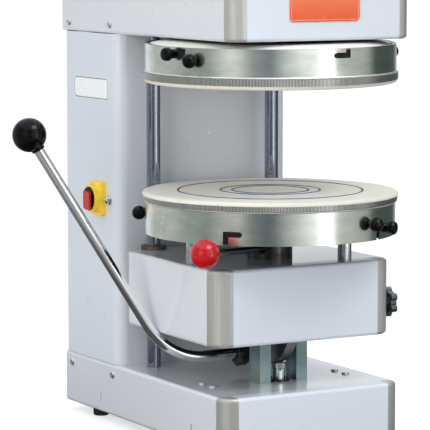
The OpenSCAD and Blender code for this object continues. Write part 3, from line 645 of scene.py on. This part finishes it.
def stage_square(name, reach, height, material):
    """A level square around the origin that isn't part of the press."""
    corners = [(x * reach, y * reach, height) for x, y in ((-1, -1), (1, -1), (1, 1), (-1, 1))]

    def build(bm):
        bm.faces.new([bm.verts.new(c) for c in corners])
    obj = add_object(name, build, material, smooth=False)
    return obj


def mirror_only(obj):
    """Makes a studio wall or flag show in shiny surfaces and nowhere else."""
    obj.visible_camera = False
    obj.visible_diffuse = False
    obj.visible_shadow = False
    obj.visible_transmission = False


WALL_REACH, WALL_TOP, WALL_SIDES = 1.7, 1.8, 72
# Tones of the studio around the press: direction in degrees, red, green, blue
WALL_TONES = (
    (0, 0.06, 0.08, 0.07), (20, 0.08, 0.10, 0.08), (40, 0.70, 0.72, 0.74), (56, 1.05, 1.08, 1.12),
    (84, 1.05, 1.08, 1.12), (112, 0.55, 0.55, 0.53), (145, 0.50, 0.52, 0.50),
    (166, 0.30, 0.34, 0.32), (190, 0.28, 0.31, 0.30), (206, 0.70, 0.71, 0.68),
    (216, 0.72, 0.73, 0.71), (228, 0.20, 0.24, 0.26), (245, 0.18, 0.22, 0.27),
    (257, 0.72, 0.73, 0.74), (271, 1.05, 1.05, 1.04), (283, 1.1, 1.1, 1.08), (287, 2.6, 2.6, 2.6),
    (293, 2.2, 2.2, 2.2), (299, 0.6, 0.6, 0.58), (316, 0.5, 0.5, 0.46), (330, 0.44, 0.45, 0.40),
    (339, 0.07, 0.09, 0.08))
# The foot of the wall is dimmed on the photographer's side: the side's middle as a share of a
# turn, the most that goes, how it fades with the cosine of the angle away, and with height
DIM_MIDDLE, DIM_MOST = 0.14, 0.6
DIM_COSINES = 0.6, 0.95
DIM_HEIGHTS = 0.15, 0.6


def studio_wall():
    """Round studio wall for the metal to mirror."""
    s = Shader("studio_wall")
    s.set(Base_Color=(0, 0, 0, 1), Roughness=1.0, Specular_IOR_Level=0.0)
    x, y, z = s.split(s.coords())
    turn = s.turn(x, y)
    ramp = s.add("ShaderNodeValToRGB", {"Fac": turn})
    stops = sorted((((angle - 180) % 360) / 360, tone) for angle, *tone in WALL_TONES)
    marks = ramp.color_ramp.elements
    while len(marks) < len(stops):
        marks.new(1.0)
    for mark, (place, tone) in zip(marks, stops):
        mark.position = place
        mark.color = (*tone, 1.0)
    s.link(ramp.outputs["Color"], "Emission Color")
    away = s.calc("MULTIPLY", s.calc("SUBTRACT", turn, DIM_MIDDLE), FULL_TURN)
    side = s.span(s.calc("COSINE", away), 0.0, DIM_MOST, *DIM_COSINES)
    dim = s.calc("MULTIPLY", side, s.span(z, 1.0, 0.0, *DIM_HEIGHTS))
    s.link(s.calc("SUBTRACT", 1.0, dim), "Emission Strength")

    def build(bm):
        angles = [FULL_TURN * i / WALL_SIDES for i in range(WALL_SIDES)]
        low, high = [[bm.verts.new((WALL_REACH * math.cos(a), WALL_REACH * math.sin(a), height))
                      for a in angles] for height in (0.0, WALL_TOP)]
        for i in range(WALL_SIDES):
            j = (i + 1) % WALL_SIDES
            bm.faces.new((low[i], low[j], high[j], high[i]))
    obj = add_object("studio_wall", build, s.mat)
    mirror_only(obj)


FLAG_REACH, FLAG_HEIGHT = WALL_REACH * 0.98, 0.002
# The flag's glow, and the distances from the origin between which it grows
FLAG_GLOWS = 0.07, 0.4
FLAG_DISTANCES = 0.5, 1.2


def studio_flag():
    """Sheet on the floor that darkens what the metal mirrors near the press."""
    s = Shader("studio_flag")
    s.set(Base_Color=(0, 0, 0, 1), Roughness=1.0, Specular_IOR_Level=0.0,
          Emission_Color=(1, 1, 1, 1))
    x, y, _ = s.split(s.coords())
    s.link(s.span(s.length(x, y), *FLAG_GLOWS, *FLAG_DISTANCES), "Emission Strength")
    mirror_only(stage_square("studio_flag", FLAG_REACH, FLAG_HEIGHT, s.mat))


stage_square("floor", FLOOR_REACH, 0, floor_material())
studio_wall()
studio_flag()


def area_light(name, place, target, size, watts, colour):
    data = bpy.data.lights.new(name, "AREA")
    data.shape = "RECTANGLE"
    data.size, data.size_y = size
    data.energy = watts
    data.color = colour
    obj = bpy.data.objects.new(name, data)
    obj.location = place
    obj.rotation_euler = (Vector(target) - Vector(place)).to_track_quat("-Z", "Y").to_euler()
    SCENE.collection.objects.link(obj)


area_light("key", place=(0.9, -2.2, 3.8), target=(0, 0, 0.4), size=(2.2, 1.6), watts=56,
           colour=(1.0, 0.97, 0.92))
area_light("left", place=(-2.8, -1.6, 1.0), target=(0, 0, 0.25), size=(1.8, 1.6), watts=50,
           colour=(1.0, 0.93, 0.85))

# The sky's strength grows from the horizon up
SKY_COLOUR = (0.87, 0.97, 1.09, 1.0)
SKY_RISE = {"From Min": 0.0, "From Max": 0.8, "To Min": 0.4, "To Max": 1.15}

world = bpy.data.worlds.new("studio")
SCENE.world = world
world.use_nodes = True
sky = world.node_tree
background = sky.nodes["Background"]
background.inputs["Color"].default_value = SKY_COLOUR
heading = sky.nodes.new("ShaderNodeTexCoord")
heights = sky.nodes.new("ShaderNodeSeparateXYZ")
strength = sky.nodes.new("ShaderNodeMapRange")
for _socket, _number in SKY_RISE.items():
    strength.inputs[_socket].default_value = _number
sky.links.new(heading.outputs["Generated"], heights.inputs["Vector"])
sky.links.new(heights.outputs["Z"], strength.inputs["Value"])
sky.links.new(strength.outputs[0], background.inputs["Strength"])

SCENE.view_settings.view_transform = "Standard"


# Camera, fitted to the photograph

PICTURE_PX = 430
FOCAL_PX = 2500.8
SENSOR_MM = 36.0
CAMERA_AT = point_mm(-2138.9, -3587.0, 851.4)
CAMERA_AXIS = Vector((0.48995, 0.86461, -0.11135))

lens = bpy.data.cameras.new("photo_camera")
lens.sensor_fit = "HORIZONTAL"
lens.sensor_width = SENSOR_MM
lens.lens = FOCAL_PX / PICTURE_PX * SENSOR_MM
lens.clip_start = 0.05
lens.clip_end = 200
camera = bpy.data.objects.new("photo_camera", lens)
camera.location = CAMERA_AT
camera.rotation_euler = CAMERA_AXIS.to_track_quat("-Z", "Y").to_euler()
SCENE.collection.objects.link(camera)
SCENE.camera = camera
